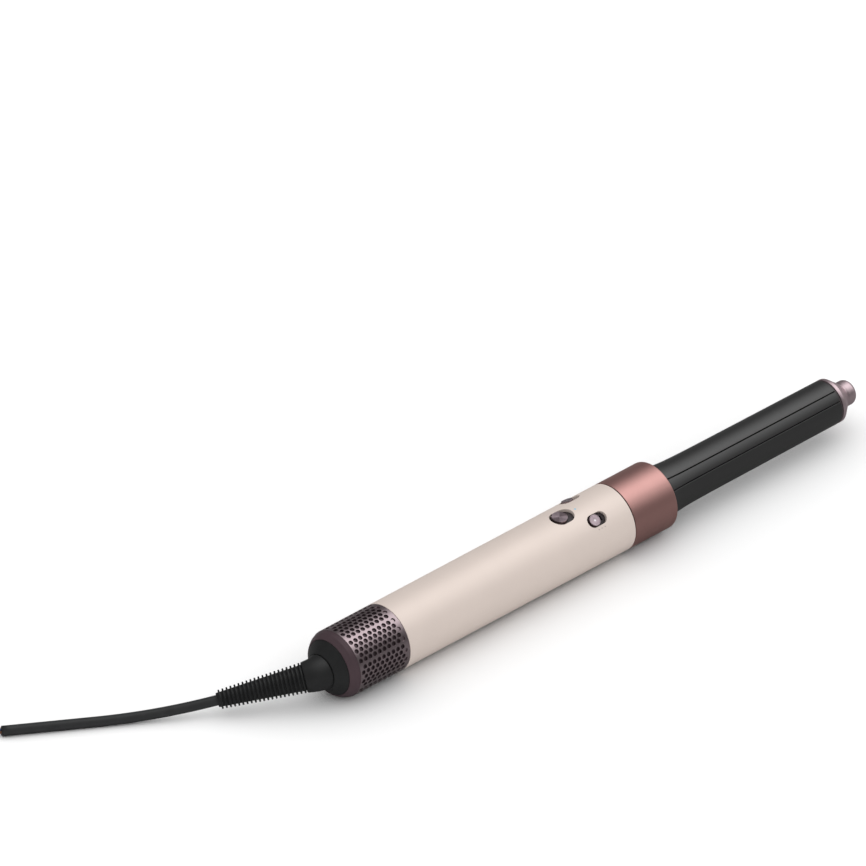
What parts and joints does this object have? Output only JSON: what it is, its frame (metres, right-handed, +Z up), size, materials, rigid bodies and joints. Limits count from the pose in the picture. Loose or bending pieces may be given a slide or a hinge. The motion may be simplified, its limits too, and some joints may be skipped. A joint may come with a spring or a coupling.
{
  "type": "automatic hair curler",
  "caption": "Hot-air hair curling wand: round handle with slide buttons, slotted barrel with a turning cool tip, perforated filter cage and a swivelling cord boot.",
  "frame": {"origin": "on the tool's axis, at the seam between the handle and the rear edge of the barrel's collar", "axes": "+X along the tool's axis from the cord to the cool tip, +Z up from the table it lies on, +Y to the left of the tool, looking towards its tip; the buttons sit 5 degrees round from +Z"},
  "size_m": [0.5688, 0.1227, 0.0418],
  "materials": {
    "shell": "satin",
    "rose_metal": "satin",
    "barrel_dark": "satin",
    "dark_plastic": "matte",
    "tip_metal": "satin",
    "button_metal": "turned",
    "cage_metal": "metallic satin",
    "mesh_steel": "woven",
    "rubber": "matte",
    "cord_rubber": "matte",
    "light": "glowing",
    "steel": "plain",
    "copper": "enamelled",
    "magnet": "plain",
    "board": "lacquered",
    "mica": "flaky",
    "white_plastic": "matte",
    "wire_red": "plain"
  },
  "bodies": {
    "handle": {"handle_sleeve": "shell", "seam_gasket": "rubber", "outlet_spigot": "dark_plastic", "outlet_grille": "steel", "latch_spring": "steel", "spigot_seal": "rubber", "control_tray": "dark_plastic", "control_board": "board", "slide_switches": "dark_plastic", "status_light": "light", "heater_tube": "mica", "heater_former": "mica", "heater_coil": "copper", "thermal_fuse": "steel", "air_duct": "dark_plastic", "chassis": "dark_plastic", "main_board": "board", "board_parts": "dark_plastic", "board_screws": "steel", "mains_wires": "wire_red", "motor_bucket": "dark_plastic", "front_mount": "rubber", "rear_mount": "rubber", "motor_casing": "steel", "stator_core": "steel", "stator_coils": "copper", "front_bearing": "steel", "rear_bearing": "steel", "filter_frame": "dark_plastic", "tail_cap": "rubber", "swivel_clip": "steel"},
    "rotor": {"rotor_shaft": "steel", "rotor_magnet": "magnet", "impeller": "white_plastic", "impeller_nut": "steel"},
    "power_slider": {"power_button": "button_metal", "power_carriage": "white_plastic"},
    "flow_slider": {"flow_button": "button_metal", "flow_carriage": "white_plastic"},
    "heat_slider": {"heat_button": "button_metal", "heat_carriage": "white_plastic"},
    "barrel": {"barrel_collar": "rose_metal", "barrel_base": "dark_plastic", "wide_staves": "barrel_dark", "narrow_staves": "barrel_dark", "barrel_end_ring": "dark_plastic"},
    "diverter": {"cool_tip": "tip_metal", "diverter_sleeve": "dark_plastic", "tip_spindle": "steel", "tip_screw": "steel"},
    "filter": {"filter_cage": "cage_metal", "cage_rear_ring": "cage_metal", "filter_mesh": "mesh_steel"},
    "cord": {"swivel_hub": "dark_plastic", "cord_boot": "rubber", "swivel_washer": "white_plastic", "power_cord": "cord_rubber", "cord_conductors": "copper"}
  },
  "joints": [
    {"name": "rotor_spin", "type": "hinge", "parent": "handle", "child": "rotor", "pos_m": [-0.15, 0, 0], "axis": [1, 0, 0], "continuous": true},
    {"name": "power_slide", "type": "slide", "parent": "handle", "child": "power_slider", "axis": [1, 0, 0], "range_m": [0, 0.0035], "stiffness_N_per_m": 150, "springref_m": -0.002},
    {"name": "flow_slide", "type": "slide", "parent": "handle", "child": "flow_slider", "axis": [1, 0, 0], "range_m": [0, 0.0046]},
    {"name": "heat_slide", "type": "slide", "parent": "handle", "child": "heat_slider", "axis": [1, 0, 0], "range_m": [0, 0.0046]},
    {"name": "barrel_pull", "type": "slide", "parent": "handle", "child": "barrel", "axis": [1, 0, 0], "range_m": [0, 0.045], "deforming": ["latch_spring"]},
    {"name": "tip_turn", "type": "hinge", "parent": "barrel", "child": "diverter", "pos_m": [0.17, 0, 0], "axis": [1, 0, 0], "range_deg": [0, 30]},
    {"name": "cage_slide", "type": "slide", "parent": "handle", "child": "filter", "axis": [-1, 0, 0], "range_m": [0, 0.016]},
    {"name": "cord_swivel", "type": "hinge", "parent": "handle", "child": "cord", "pos_m": [-0.225, 0, 0], "axis": [1, 0, 0], "range_deg": [-175, 175]}
  ]
}
